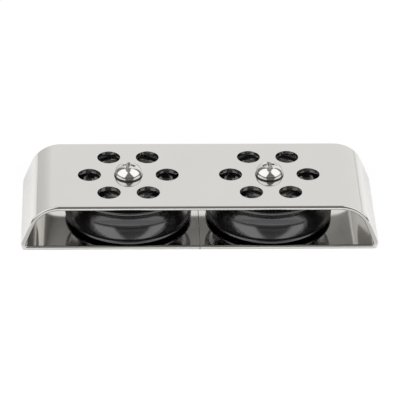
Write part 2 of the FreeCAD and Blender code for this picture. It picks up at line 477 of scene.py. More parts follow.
def skin(mesh: bmesh.types.BMesh, rings: Sequence[Sequence[bmesh.types.BMVert]]) -> None:
    """Join closed rings of equally many points by faces, each ring to the next.

    Args:
        mesh: The mesh that they are in.
        rings: The rings in order. A pole is a ring of one point over and over.
    """
    for low, high in zip(rings, rings[1:]):
        for step in range(len(low)):
            after = (step + 1) % len(low)
            corners = dict.fromkeys((low[step], low[after], high[after], high[step]))
            if len(corners) > 2:
                mesh.faces.new(corners)


def lathe(profile: Sequence[Point], segments: int, closed: bool = False,
          centre: Vector = ORIGIN) -> bmesh.types.BMesh:
    """Turn a profile once round an upright axis.

    Args:
        profile: (radius, height) points. A radius of zero is a pole.
        segments: How many steps the turn has.
        closed: Whether the last point joins the first, as in a ring.
        centre: The foot of the axis.

    Returns:
        The turned mesh.
    """
    mesh = bmesh.new()
    angles = [2 * math.pi * step / segments for step in range(segments)]
    rings = []
    for radius, height in profile:
        if radius < TINY:
            rings.append([mesh.verts.new(centre + Vector((0, 0, height)))] * segments)
        else:
            spots = [Vector((radius * math.cos(a), radius * math.sin(a), height)) for a in angles]
            rings.append([mesh.verts.new(centre + spot) for spot in spots])
    skin(mesh, rings + rings[:1] if closed else rings)
    return mesh


def band(inner: float, outer: float, low: float, high: float, edge: float) -> list[Point]:
    """The section of a plain ring with rounded edges.

    Args:
        inner: Its inner radius.
        outer: Its outer radius.
        low: Its lower end.
        high: Its upper end.
        edge: The rounding of its edges.

    Returns:
        (radius, height) points, all the way round.
    """
    return rounded([(inner, low, edge), (outer, low, edge), (outer, high, edge), (inner, high, edge)],
                   step_deg=EDGE_STEP)


def put(name: str, data: bpy.types.ID) -> Object:
    """Put a mesh, camera or light into the scene as a new object.

    Args:
        name: The object's name.
        data: What it holds.

    Returns:
        The object, at the origin.
    """
    thing = bpy.data.objects.new(name, data)
    bpy.context.scene.collection.objects.link(thing)
    return thing


def place_mesh(name: str, mesh: bmesh.types.BMesh, outwards: bool = True) -> Object:
    """Make an object of a mesh, with its faces pointing outwards.

    Args:
        name: The object's name.
        mesh: Its mesh, which is freed.
        outwards: Whether to work out which way is out.

    Returns:
        The object, at the origin.
    """
    if outwards:
        bmesh.ops.recalc_face_normals(mesh, faces=mesh.faces[:])
    data = bpy.data.meshes.new(name)
    mesh.to_mesh(data)
    mesh.free()
    return put(name, data)


def cylinder(name: str, radius: float, low: float, high: float) -> Object:
    """A plain cylinder on the origin's axis, to cut with."""
    profile = [(0.0, low), (radius, low), (radius, high), (0.0, high)]
    return place_mesh(name, lathe(profile, TOOL_SEGMENTS))


def baked(thing: Object) -> Object:
    """Turn an object's modifiers into its own plain mesh and remove them.

    Args:
        thing: The object.

    Returns:
        The same object.
    """
    view = bpy.context.evaluated_depsgraph_get()
    view.update()
    data = bpy.data.meshes.new_from_object(thing.evaluated_get(view))
    spent = thing.data
    thing.modifiers.clear()
    thing.data = data
    data.name = thing.name
    bpy.data.meshes.remove(spent)
    return thing


def smoothed(thing: Object) -> Object:
    """Shade an object smooth, with crisp edges and flats that stay flat.

    Args:
        thing: The object.

    Returns:
        The same object.
    """
    thing.data.shade_smooth()
    thing.data.set_sharp_from_angle(angle=math.radians(SHARP_TURN))
    weigh = thing.modifiers.new("flat_faces", "WEIGHTED_NORMAL")
    weigh.mode = "FACE_AREA"
    weigh.weight = FLAT_WEIGHT
    weigh.keep_sharp = True
    return baked(thing)


def remove(things: Iterable[Object]) -> None:
    """Take helper objects out of the scene.

    Args:
        things: The objects.
    """
    for thing in things:
        data = thing.data
        bpy.data.objects.remove(thing)
        bpy.data.meshes.remove(data)


def fit(thing: Object, finish: Finish, body: str, slot: str, *nodes: str) -> None:
    """Dress a finished piece and give it its place in the frame.

    Args:
        thing: The piece.
        finish: Its finish.
        body: The body that it rides on.
        slot: The record's material slot; not used.
        nodes: The CAD nodes that it stands for.
    """
    thing.data.materials.clear()
    thing.data.materials.append(finish.material())
    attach(thing, body)
    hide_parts(*nodes)
    log.info("%s: %d faces on %s", thing.name, len(thing.data.polygons), body)


class Recipe:
    """A Geometry Nodes tree with named inputs."""

    def __init__(self, name: str) -> None:
        """Start the tree with its geometry sockets.

        Args:
            name: The tree's name.
        """
        self.tree = bpy.data.node_groups.new(name, "GeometryNodeTree")
        self.tree.interface.new_socket("Geometry", in_out="INPUT", socket_type="NodeSocketGeometry")
        self.tree.interface.new_socket("Geometry", in_out="OUTPUT", socket_type="NodeSocketGeometry")
        self.start = self.tree.nodes.new("NodeGroupInput")
        self.names: dict[str, str] = {}

    def sizes(self, kind: str, *names: str) -> list[Number]:
        """Add named inputs of one kind.

        Args:
            kind: Their socket type, less the words Node Socket.
            names: Their names.

        Returns:
            The inputs' values inside the tree.
        """
        for name in names:
            item = self.tree.interface.new_socket(name, in_out="INPUT", socket_type=f"NodeSocket{kind}")
            self.names[name] = item.identifier
        return [Number(self.tree, self.start.outputs[name]) for name in names]

    def node(self, kind: str, settings: Optional[dict] = None, **inputs: object) -> Node:
        """Add a node to the tree, as add_node does."""
        return add_node(self.tree, kind, settings, **inputs)

    def ring(self, tool: Number, count: Number, pitch: Number,
             centre: Optional[Number] = None) -> Socket:
        """Set an object evenly on a level circle.

        Args:
            tool: The object.
            count: How many times it is set.
            pitch: The circle's radius.
            centre: Its centre, or None for the origin.

        Returns:
            The instances.
        """
        one = self.node("GeometryNodeObjectInfo", Object=tool)
        points = self.node("GeometryNodeMeshCircle", Vertices=count, Radius=pitch)
        if centre:
            points = self.node("GeometryNodeTransform", Geometry=points.outputs[0], Translation=centre)
        return self.node("GeometryNodeInstanceOnPoints", Points=points.outputs[0],
                         Instance=one.outputs["Geometry"]).outputs[0]

    def cut(self, tools: Socket) -> Socket:
        """The object that the tree runs on, less the tools.

        Args:
            tools: The bodies to cut out.

        Returns:
            The geometry that is left.
        """
        real = self.node("GeometryNodeRealizeInstances", Geometry=tools)
        cut = self.node("GeometryNodeMeshBoolean", {"operation": "DIFFERENCE", "solver": "EXACT"},
                        Mesh_1=self.start.outputs["Geometry"], Mesh_2=real.outputs[0])
        return cut.outputs["Mesh"]

    def end(self, result: Socket, finish: Finish) -> None:
        """Close the tree: instances made real, and the finish set.

        Args:
            result: The geometry.
            finish: Its finish.
        """
        real = self.node("GeometryNodeRealizeInstances", Geometry=result)
        dressed = self.node("GeometryNodeSetMaterial", Geometry=real.outputs[0])
        dressed.inputs["Material"].default_value = finish.material()
        stop = self.tree.nodes.new("NodeGroupOutput")
        self.tree.links.new(dressed.outputs[0], stop.inputs[0])

    def apply(self, thing: Object, **values: object) -> Object:
        """Run the tree on an object and keep the result as a plain mesh.

        Args:
            thing: The object.
            values: The inputs by name.

        Returns:
            The same object.
        """
        modifier = thing.modifiers.new(self.tree.name, "NODES")
        modifier.node_group = self.tree
        for name, value in values.items():
            modifier[self.names[name]] = value
        return baked(thing)


@dataclass
class FoldedHousing:
    """The band: one strip of sheet folded into a flat loop, with holes through its cover.

    Its length, width and height are the frame's.
    """

    sheet: float = 0.002  # the sheet's thickness
    lean_deg: float = 22.0  # how far the end walls lean outwards towards the base
    shoulder: float = 0.0116  # the inner radius of the upper bends
    foot: float = 0.0008  # the inner radius of the lower bends
    seam: float = 0.0003  # the gap where the strip's two ends meet under the base
    edge_round: float = 0.0008  # the radius of the strip's long edges
    vent_count: int = 6  # how many flushing holes surround each screw
    vent_radius: float = 0.0049  # the radius of a flushing hole
    vent_pitch: float = 0.016525  # the radius of the circle that they lie on
    vent_break: float = 0.00005  # the radius of their deburred edges
    vent_flare_deg: float = 72.0  # how far those edges turn
    vent_segments: int = 96  # how many steps the holes' turn has
    lip_steps: int = 5  # how many chords their edges have
    foot_steps: int = 28  # how many chords a lower bend has
    shoulder_steps: int = 56  # how many chords an upper bend has
    bore: float = 0.0032  # the radius of the screw holes

    def __post_init__(self) -> None:
        """Take the outer sizes from the frame."""
        low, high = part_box("housing")
        self.half_length = (high.x - low.x) / 2
        self.half_width = (high.y - low.y) / 2
        self.height = high.z - low.z

    def stations(self) -> list[tuple[Vector, Vector]]:
        """The strip's course, from one end at the seam all the way round to the other.

        Returns:
            (point on the inner surface, outward direction) in the XZ plane, at each station.
        """
        lean = math.radians(self.lean_deg)
        foot_out, shoulder_out = self.foot + self.sheet, self.shoulder + self.sheet
        middle, shoulder_z = self.height / 2, self.height - shoulder_out
        wall = (self.half_length - foot_out + foot_out / math.cos(lean)
                - (middle - foot_out) * math.tan(lean))
        shoulder_x = wall - (shoulder_z - middle) * math.tan(lean) - shoulder_out / math.cos(lean)
        right = [(Vector((self.seam / 2, self.sheet)), Vector((0.0, -1.0)))]
        for centre, radius, start, end, steps in (
                ((self.half_length - foot_out, foot_out), self.foot, -math.pi / 2, lean,
                 self.foot_steps),
                ((shoulder_x, shoulder_z), self.shoulder, lean, math.pi / 2, self.shoulder_steps)):
            for x, y, _ in arc((0.0, 0.0), 1.0, start, end, steps):
                out = Vector((x, y))
                right.append((Vector(centre) + out * radius, out))
        left = [(Vector((-p.x, p.y)), Vector((-n.x, n.y))) for p, n in reversed(right)]
        return right + left

    def strip(self) -> Object:
        """The folded strip without its holes.

        Returns:
            The strip as an object.
        """
        y, r = self.half_width, self.edge_round
        section = rounded([(-y, 0.0, r), (y, 0.0, r), (y, self.sheet, r), (-y, self.sheet, r)],
                          step_deg=11.25)
        mesh = bmesh.new()
        rings = []
        for point, out in self.stations():
            spots = [(across, point + out * depth) for across, depth in section]
            rings.append([mesh.verts.new((spot.x, across, spot.y)) for across, spot in spots])
        skin(mesh, rings)
        mesh.faces.new(rings[0])
        mesh.faces.new(rings[-1])
        return place_mesh("folded_housing", mesh)

    def vent_tool(self) -> Object:
        """The body that a flushing hole takes out of the cover, flared at both of its edges.

        Returns:
            The body.
        """
        top, under = self.height, self.height - self.sheet
        r, e = self.vent_radius, self.vent_break
        turn = math.radians(self.vent_flare_deg)
        lip = arc((r + e, top - e), e, math.pi, math.pi - turn, self.lip_steps)
        base = arc((r + e, under + e), e, math.pi + turn, math.pi, self.lip_steps)
        slope = CLEAR / math.tan(math.pi / 2 - turn)
        high = (lip[-1][0] + slope, lip[-1][1] + CLEAR)
        low = (base[0][0] + slope, base[0][1] - CLEAR)
        profile = [(0.0, low[1]), low] + [corner[:2] for corner in base + lip] + [high, (0.0, high[1])]
        return place_mesh("vent_tool", lathe(profile, self.vent_segments))

    def perforations(self) -> Recipe:
        """The tree that cuts a ring of flushing holes and a screw hole round each screw axis.

        Returns:
            The tree.
        """
        recipe = Recipe("flushing_holes")
        vent, bore = recipe.sizes("Object", "Vent", "Bore")
        count, = recipe.sizes("Int", "Count")
        pitch, across = recipe.sizes("Float", "Pitch", "Across")
        bores = recipe.node("GeometryNodeObjectInfo", Object=bore)
        tools = recipe.node("GeometryNodeJoinGeometry")
        for part in (bores.outputs["Geometry"], recipe.ring(vent, count, pitch)):
            recipe.tree.links.new(part, tools.inputs[0])
        start = recipe.node("ShaderNodeCombineXYZ", X=across * -0.5)
        step = recipe.node("ShaderNodeCombineXYZ", X=across)
        axes = recipe.node("GeometryNodeMeshLine", {"mode": "OFFSET"}, Count=2,
                           Start_Location=start.outputs[0], Offset=step.outputs[0])
        placed = recipe.node("GeometryNodeInstanceOnPoints", Points=axes.outputs[0],
                             Instance=tools.outputs[0])
        recipe.end(recipe.cut(placed.outputs[0]), HOUSING_FINISH)
        return recipe

    def build(self) -> None:
        """Fold the strip, cut its holes and set it in the frame."""
        housing = self.strip()
        tools = [self.vent_tool(), cylinder("bore_tool", self.bore, -CLEAR, self.height + CLEAR)]
        across = 2 * Side.RIGHT.axis().x
        self.perforations().apply(housing, Vent=tools[0], Bore=tools[1], Count=self.vent_count,
                                  Pitch=self.vent_pitch, Across=across)
        remove(tools)
        fit(smoothed(housing), HOUSING_FINISH, "frame", "housing_stainless", "housing")


@dataclass
class SidePieces:
    """Pieces on one side, each in the place of a CAD node."""

    side: Side  # the sheave that they belong to

    def node(self, part: str) -> str:
        """The name of this side's node or piece."""
        return self.side.node(part)

    def span(self, part: str) -> tuple[float, float, float]:
        """How wide and how high a node is.

        Args:
            part: The node's name without its side.

        Returns:
            Its outer radius, its lower end and its upper end.
        """
        low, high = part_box(self.node(part))
        return (high.y - low.y) / 2, low.z, high.z

    def middle(self, part: str) -> Vector:
        """The middle of a node, on the screw's axis."""
        _, low, high = self.span(part)
        return self.side.axis() + Vector((0, 0, (low + high) / 2))


@dataclass
class GroovedSheave(SidePieces):
    """One black wheel: a round-bottomed rope groove, rounded rims and turned channels.

    Its radius and thickness are the frame's.
    """

    groove: float = 0.00745  # the radius of the groove's arc
    groove_half: float = 0.0063  # half of the groove's width, where the flanges begin
    land: float = 0.00145  # how far the flanges reach beyond the arc
    flare_deg: float = 5.0  # how far their inner faces flare
    crease: float = 0.0004  # the rounding between the arc and the flanges
    rim_round: float = 0.0004  # the radius of the rims
    channel_depth: float = 0.0006  # the depth of the channels in both faces
    channel_width: float = 0.0034  # their width
    rib_width: float = 0.0011  # the rib between them
    channel_count: int = 2  # how many channels a face has
    inner_land: float = 0.0016  # the land between the seat and the first channel
    seat: float = 0.01297  # the radius of the seats for the retainers
    bore: float = 0.01217  # the radius of the bore
    seat_depth: float = 0.0015  # how deep the retainers sit
    edge: float = 0.00018  # the radius of the small edges
    segments: int = 192  # how many steps its turn has
    groove_steps: int = 44  # how many chords the groove has

    def profile(self) -> list[Point]:
        """The wheel's section about its own middle.

        Returns:
            (radius, height) points, all the way round.
        """
        radius, low, high = self.span("sheave")
        half = (high - low) / 2
        foot = radius - self.land
        lip_z = self.groove_half + self.land * math.tan(math.radians(self.flare_deg))
        sweep = math.asin(self.groove_half / self.groove)
        centre = foot + self.groove * math.cos(sweep)
        e = self.edge
        upper = [(radius, lip_z, self.rim_round), (radius, half, self.rim_round)]
        for index in reversed(range(self.channel_count)):
            near = self.seat + self.inner_land + index * (self.channel_width + self.rib_width)
            far = near + self.channel_width
            floor = half - self.channel_depth
            upper += [(far, half, e), (far, floor, e), (near, floor, e), (near, half, e)]
        step = half - self.seat_depth
        upper += [(self.seat, half, e), (self.seat, step, 0.0), (self.bore, step, e)]
        lower = [(x, -z, r) for x, z, r in reversed(upper)]
        groove = arc((centre, 0.0), self.groove, math.pi + sweep, math.pi - sweep,
                     self.groove_steps)
        for end in (0, -1):
            groove[end] = (*groove[end][:2], self.crease)
        return rounded(upper + lower + groove)

    def build(self) -> None:
        """Turn the wheel and set it in the frame."""
        mesh = lathe(self.profile(), self.segments, True, self.middle("sheave"))
        fit(smoothed(place_mesh(self.node("grooved_wheel"), mesh)), SHEAVE_FINISH,
            self.node("sheave"), "sheave_black", self.node("sheave"))


@dataclass
class RollerBearing(SidePieces):
    """Everything between a sheave's bore and its screw, and the seal under the screw's head.

    The rings' sizes are the frame's.
    """

    edge: float = 0.0002  # the rounding of the rings' edges
    hub_bore: float = 0.0032  # the radius of the hub's and the washers' bores
    race_bore: float = 0.01075  # the radius of the outer race's bore
    retainer_bore: float = 0.00665  # the radius of the retainers' bores
    cage_wall: float = 0.0016  # the thickness of the cage's wall
    pitch: float = 0.0085  # the radius of the circle that the rollers lie on
    roller_radius: float = 0.0022  # a roller's radius
    roller_chamfer: float = 0.0003  # the chamfer of its ends
    pocket_clearance: float = 0.0001  # the gap round a roller in its pocket
    count: int = 9  # how many rollers there are
    roller_segments: int = 48  # how many steps a roller's turn has
    ring_segments: int = 128  # how many steps a plain ring's turn has
    cage_segments: int = 180  # how many steps the cage's turn has

    def ring(self, part: str, title: str, bore: float, finish: Finish, body: str, slot: str) -> None:
        """Turn one plain ring with rounded edges in the place of its CAD node.

        Args:
            part: The CAD node's name without its side.
            title: The piece's name without its side.
            bore: The ring's inner radius.
            finish: Its finish.
            body: The body that it rides on.
            slot: The record's material slot.
        """
        outer, low, high = self.span(part)
        mesh = lathe(band(bore, outer, low, high, self.edge), self.ring_segments, True, self.side.axis())
        fit(smoothed(place_mesh(self.node(title), mesh)), finish, body, slot, self.node(part))

    def spaced(self, name: str, finish: Finish, cuts: bool) -> Recipe:
        """The tree that sets rollers, or cuts their pockets, evenly round the axis.

        Args:
            name: The tree's name.
            finish: The result's finish.
            cuts: Whether the cylinders are cut out of the object instead of standing for it.

        Returns:
            The tree.
        """
        recipe = Recipe(name)
        inputs = (("Object", "Roller"), ("Int", "Count"), ("Float", "Pitch"), ("Vector", "Centre"))
        result = recipe.ring(*(recipe.sizes(*words)[0] for words in inputs))
        if cuts:
            result = recipe.cut(result)
        recipe.end(result, finish)
        return recipe

    def rollers(self) -> None:
        """The nine rollers, one beside the other round the hub."""
        _, low, high = self.span("rollers")
        half = (high - low) / 2
        r, c = self.roller_radius, self.roller_chamfer
        flat, soft = r - c, c / 3
        profile = rounded([(0.0, -half, 0.0), (flat, -half, soft), (r, c - half, soft),
                           (r, half - c, soft), (flat, half, soft), (0.0, half, 0.0)],
                          closed=False, step_deg=EDGE_STEP)
        one = smoothed(place_mesh("roller_pattern", lathe(profile, self.roller_segments)))
        name = self.node("roller_set")
        rollers = place_mesh(name, bmesh.new(), outwards=False)
        self.spaced(name, ROLLER_FINISH, cuts=False).apply(
            rollers, Roller=one, Count=self.count, Pitch=self.pitch, Centre=self.middle("rollers"))
        remove([one])
        fit(rollers, ROLLER_FINISH, self.node("bearing"), "roller_steel", self.node("rollers"))

    def cage(self) -> None:
        """The cage: a ring with one pocket for each roller."""
        _, low, high = self.span("roller_cage")
        _, roller_low, roller_high = self.span("rollers")
        wall = self.cage_wall / 2
        section = band(self.pitch - wall, self.pitch + wall, low, high, self.edge)
        name = self.node("pocketed_cage")
        cage = place_mesh(name, lathe(section, self.cage_segments, True, self.side.axis()))
        half = (roller_high - roller_low) / 2 + self.pocket_clearance
        pocket = cylinder("pocket_tool", self.roller_radius + self.pocket_clearance, -half, half)
        self.spaced(name, CAGE_FINISH, cuts=True).apply(
            cage, Roller=pocket, Count=self.count, Pitch=self.pitch, Centre=self.middle("rollers"))
        remove([pocket])
        fit(smoothed(cage), CAGE_FINISH, self.node("bearing"), "cage_nylon",
            self.node("roller_cage"))

    def build(self) -> None:
        """Make the rings, the rollers and their cage."""
        wheel = self.node("sheave")
        self.ring("outer_race", "race_ring", self.race_bore, BEARING_FINISH, wheel, "bearing_steel")
        for level in ("upper", "lower"):
            self.ring(f"{level}_retainer", f"{level}_snap_ring", self.retainer_bore, RETAINER_FINISH,
                      wheel, "retainer_black")
            self.ring(f"{level}_washer", f"{level}_thrust_washer", self.hub_bore, WASHER_FINISH,
                      "frame", "washer_steel")
        self.ring("hub_sleeve", "hub_tube", self.hub_bore, BEARING_FINISH, "frame", "bearing_steel")
        self.ring("seal_washer", "head_seal", self.hub_bore, SEAL_FINISH, "frame", "seal_black")
        self.rollers()
        self.cage()


@dataclass
class MountingScrew(SidePieces):
    """A pan-head screw with a cross recess and a rolled thread below the base.

    The head's and the tip's heights are the frame's.
    """

    head_rim: float = 0.0003  # the upright rim under the head's shoulder
    head_edge: float = 0.0002  # the rounding of its lower edge
    head_height: float = 0.0046  # the head's height
    shoulder: float = 0.0032  # the radius of the shoulder
    shank: float = 0.003  # the shank's radius
    relief: float = 0.0025  # the radius of the relief above the thread
    relief_high: float = 0.0012  # the relief's upper end
    relief_edge: float = 0.00012  # the rounding of its upper edges
    thread_high: float = -0.0002  # the thread's upper end
    thread_major: float = 0.00294  # the thread's outer radius
    thread_minor: float = 0.00243  # its core radius
    pitch: float = 0.001  # its pitch
    tip_chamfer: float = 0.0006  # the height of the tip's chamfer
    recess_reach: float = 0.00305  # how far the recess's arms reach at its mouth
    recess_slot: float = 0.0015  # their width there
    recess_depth: float = 0.0028  # the recess's depth
    recess_taper: float = 0.45  # the share of reach and width that is left at its floor
    recess_round: float = 0.00012  # the rounding of its mouth
    recess_corner: float = 0.00018  # the rounding of the cross's corners
    floor_corner: float = 0.6  # the share of that at its floor
    mouth_degs: tuple[float, ...] = (0.0, 25.0, 48.0, 68.0)  # the turns of its mouth's chords
    recess_flare: float = 0.0012  # how far the cutting body spreads above the crown
    recess_rise: float = 0.0006  # how far it stands out of the crown
    turn_deg: float = 8.0  # how far the recess is turned on the right, and mirrored on the left
    thread_crest: float = 0.06  # half of the crest, in pitches
    thread_root: float = 0.44  # where the flank meets the root, in pitches from the crest's middle
    run_in: float = 0.9  # over how many pitches the thread rises at its lower end
    run_out: float = 0.6  # over how many it sinks at its upper end
    segments: int = 96  # how many steps one turn has
    crown_steps: int = 22  # how many chords the crown has
    shoulder_steps: int = 14  # how many chords the shoulder has
    strip_points: int = 9  # how many points lie across the thread
    side_parts: int = 6  # how many parts a straight side of the cross has

    def __post_init__(self) -> None:
        """Take the seat, the top and the tip from the frame."""
        self.radius, self.tip, _ = self.span("screw")
        self.seat = self.span("seal_washer")[2]
        self.top = self.seat + self.head_height
        domed = self.top - self.seat - self.head_rim
        inset = self.radius - self.shoulder
        self.crown = (inset ** 2 + domed ** 2 - self.shoulder ** 2) / (2 * (domed - self.shoulder))
        self.crown_z = self.top - self.crown

    def dome(self, radius: float) -> float:
        """The crown's height at a distance from the axis."""
        return self.crown_z + math.sqrt(self.crown ** 2 - radius ** 2)

    def upper(self) -> bmesh.types.BMesh:
        """The head, the shank and the relief, open where the thread starts.

        Returns:
            The mesh.
        """
        inset = self.radius - self.shoulder
        rim_top = self.seat + self.head_rim
        blend = math.atan2(rim_top - self.crown_z, inset)
        crown = arc((0.0, self.crown_z), self.crown, math.pi / 2, blend, self.crown_steps)
        shoulder = arc((inset, rim_top), self.shoulder, blend, 0.0, self.shoulder_steps)[1:]
        soft = self.relief_edge
        rest = [(self.radius, self.seat, self.head_edge), (self.shank, self.seat, 0.0),
                (self.shank, self.relief_high, soft), (self.relief, self.relief_high, soft),
                (self.relief, self.thread_high, 0.0), (self.thread_minor, self.thread_high, 0.0)]
        profile = rounded([(0.0, self.top, 0.0)] + crown[1:] + shoulder + rest, closed=False,
                          step_deg=EDGE_STEP)
        return lathe(profile, self.segments)

    def lower(self) -> bmesh.types.BMesh:
        """The tip below the thread, open at its top.

        Returns:
            The mesh.
        """
        flat = self.thread_major - self.tip_chamfer
        profile = [(self.thread_minor, self.tip + self.tip_chamfer), (flat, self.tip), (0.0, self.tip)]
        return lathe(profile, self.segments)

    def thread(self) -> Recipe:
        """The tree that winds a thread: a long strip, one pitch high, laid round a core.

        Returns:
            The tree.
        """
        recipe = Recipe(self.node("screw_thread"))
        major, minor, pitch, high, low, turns = recipe.sizes(
            "Float", "Major", "Minor", "Pitch", "High", "Low", "Turns")
        along, = recipe.sizes("Int", "Steps")
        strip = recipe.node("GeometryNodeMeshGrid", Size_X=1.0, Size_Y=1.0, Vertices_X=along,
                            Vertices_Y=self.strip_points)
        spot = recipe.node("GeometryNodeInputPosition").outputs[0]
        x, y, _ = Number(recipe.tree, spot).parts()
        turn, across = (x + 0.5) * turns, y + 0.5
        height = ((turn + across) * pitch + (low - pitch)).math("MAXIMUM", low).math("MINIMUM", high)
        flank = (across - 0.5).math("ABSOLUTE").ramp(self.thread_crest, self.thread_root, 1.0, 0.0,
                                                     smooth=False)
        run_in = ((height - low) / pitch).ramp(0.0, self.run_in, smooth=False)
        run_out = ((high - height) / pitch).ramp(0.0, self.run_out, smooth=False)
        radius = minor + (major - minor) * flank * run_in * run_out
        angle = turn * (2 * math.pi)
        spot = recipe.node("ShaderNodeCombineXYZ", X=radius * angle.math("COSINE"),
                           Y=radius * angle.math("SINE"), Z=height)
        moved = recipe.node("GeometryNodeSetPosition", Geometry=strip.outputs["Mesh"],
                            Position=spot.outputs[0])
        merged = recipe.node("GeometryNodeMergeByDistance", Geometry=moved.outputs[0], Distance=WELD)
        recipe.end(merged.outputs[0], SCREW_FINISH)
        return recipe

    def cross(self, reach: float, half_slot: float, corner: float) -> list[Point]:
        """The outline of a four-armed cross with rounded corners.

        Args:
            reach: How far the arms reach from the middle.
            half_slot: Half of their width.
            corner: The radius of the corners.

        Returns:
            The outline's points, the same number whatever the sizes.
        """
        corners: list[Corner] = []
        for arm in range(4):
            turn = Matrix.Rotation(arm * math.pi / 2, 2)
            for along, aside in ((reach, -half_slot), (reach, half_slot), (half_slot, half_slot)):
                spot = turn @ Vector((along, aside))
                corners.append((spot.x, spot.y, corner))
        outline = rounded(corners, step_deg=35.0)
        per_corner = len(outline) // len(corners)
        points = []
        for index, (here, after) in enumerate(zip(outline, outline[1:] + outline[:1])):
            parts = self.side_parts if index % per_corner == per_corner - 1 else 1
            for part in range(parts):
                points.append(tuple(a + (b - a) * part / parts for a, b in zip(here, after)))
        return points

    def recess_tool(self) -> Object:
        """The body that the cross recess takes out of the head.

        Its walls narrow towards the floor, and its mouth flares along the crown.

        Returns:
            The body.
        """
        mesh = bmesh.new()
        half, e = self.recess_slot / 2, self.recess_round
        corner, taper = self.recess_corner, self.recess_taper
        floor = self.top - self.recess_depth
        arms = self.cross(self.recess_reach * taper, half * taper, corner * self.floor_corner)
        levels = [(arms, lambda r: floor)]
        for angle in map(math.radians, self.mouth_degs):
            out, down = e * (1 - math.cos(angle)), e * (1 - math.sin(angle))
            levels.append((self.cross(self.recess_reach + out, half + out, corner + out),
                           lambda r, down=down: self.dome(r) - down))
        flare, rise = self.recess_flare, self.recess_rise
        levels.append((self.cross(self.recess_reach + flare, half + flare, corner + flare / 3),
                       lambda r: self.dome(r) + rise))
        rings = [[mesh.verts.new((x, y, height(math.hypot(x, y)))) for x, y in outline]
                 for outline, height in levels]
        skin(mesh, rings)
        mesh.faces.new(rings[0])
        middle = mesh.verts.new((0.0, 0.0, self.top + rise))
        for here, after in zip(rings[-1], rings[-1][1:] + rings[-1][:1]):
            mesh.faces.new((here, after, middle))
        turn = Matrix.Rotation(math.radians(self.side.sign * self.turn_deg), 4, "Z")
        bmesh.ops.transform(mesh, matrix=turn, verts=mesh.verts[:])
        return place_mesh("recess_tool", mesh)

    def build(self) -> None:
        """Turn the screw, wind its thread, sink its recess and set it in the frame."""
        name = self.node("pan_head_screw")
        thread_low = self.tip + self.tip_chamfer
        turns = math.ceil((self.thread_high - thread_low) / self.pitch) + 1
        thread = place_mesh("thread_strip", bmesh.new(), outwards=False)
        self.thread().apply(thread, Major=self.thread_major, Minor=self.thread_minor, Pitch=self.pitch,
                            High=self.thread_high, Low=thread_low, Turns=float(turns),
                            Steps=turns * self.segments + 1)
        whole = self.upper()
        tip = self.lower()
        tip_data = bpy.data.meshes.new("tip")
        tip.to_mesh(tip_data)
        tip.free()
        whole.from_mesh(tip_data)
        whole.from_mesh(thread.data)
        bpy.data.meshes.remove(tip_data)
        remove([thread])
        bmesh.ops.remove_doubles(whole, verts=whole.verts[:], dist=WELD)
        bmesh.ops.dissolve_degenerate(whole, edges=whole.edges[:], dist=TINY)
        screw = place_mesh(name, whole)
        recess = self.recess_tool()
        cut = screw.modifiers.new("recess", "BOOLEAN")
        cut.operation = "DIFFERENCE"
        cut.solver = "EXACT"
        cut.object = recess
        baked(screw)
        remove([recess])
        screw.data.transform(Matrix.Translation(self.side.axis()))
        fit(smoothed(screw), SCREW_FINISH, "frame", "screw_stainless", self.node("screw"))


def towards(azimuth_deg: float, elevation_deg: float) -> Vector:
    """The unit vector of a direction, its azimuth counted from -Y towards +X.

    Args:
        azimuth_deg: The azimuth.
        elevation_deg: The elevation.

    Returns:
        The vector.
    """
    azimuth, elevation = math.radians(azimuth_deg), math.radians(elevation_deg)
    return Vector((math.sin(azimuth) * math.cos(elevation), -math.cos(azimuth) * math.cos(elevation),
                   math.sin(elevation)))


@dataclass(frozen=True)
class PhotoCamera:
    """The camera, where the photograph was taken from."""

    azimuth_deg: float = -2.32  # its direction from the cover's middle, from -Y towards +X
    elevation_deg: float = 31.97  # how high it stands
    roll_deg: float = 1.02  # how far it is turned about its own axis
    distance: float = 1.2338  # how far it stands off
    shift_right: float = 0.00049  # how far it is moved to its right
    shift_up: float = -0.01085  # how far it is moved up its picture
    lens: float = 261.0  # the focal length in millimetres
    sensor: float = 36.0  # the sensor's width in millimetres
    nearest: float = 0.01  # what lies nearer than this isn't seen

    def build(self) -> None:
        """Set the camera up."""
        azimuth, back = math.radians(self.azimuth_deg), towards(self.azimuth_deg, self.elevation_deg)
        level = Vector((math.cos(azimuth), math.sin(azimuth), 0.0))
        turn = Matrix.Rotation(math.radians(self.roll_deg), 3, back)
        right, up = turn @ level, turn @ back.cross(level)
        aim = Vector((0.0, 0.0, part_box("housing")[1].z))
        spot = aim + back * self.distance + right * self.shift_right + up * self.shift_up
        data = bpy.data.cameras.new("photo_camera")
        data.sensor_width = self.sensor
        data.lens = self.lens
        data.clip_start = self.nearest
        camera = put("photo_camera", data)
        axes = Matrix((right, up, back)).transposed()
        camera.matrix_world = Matrix.Translation(spot) @ axes.to_4x4()
        bpy.context.scene.camera = camera


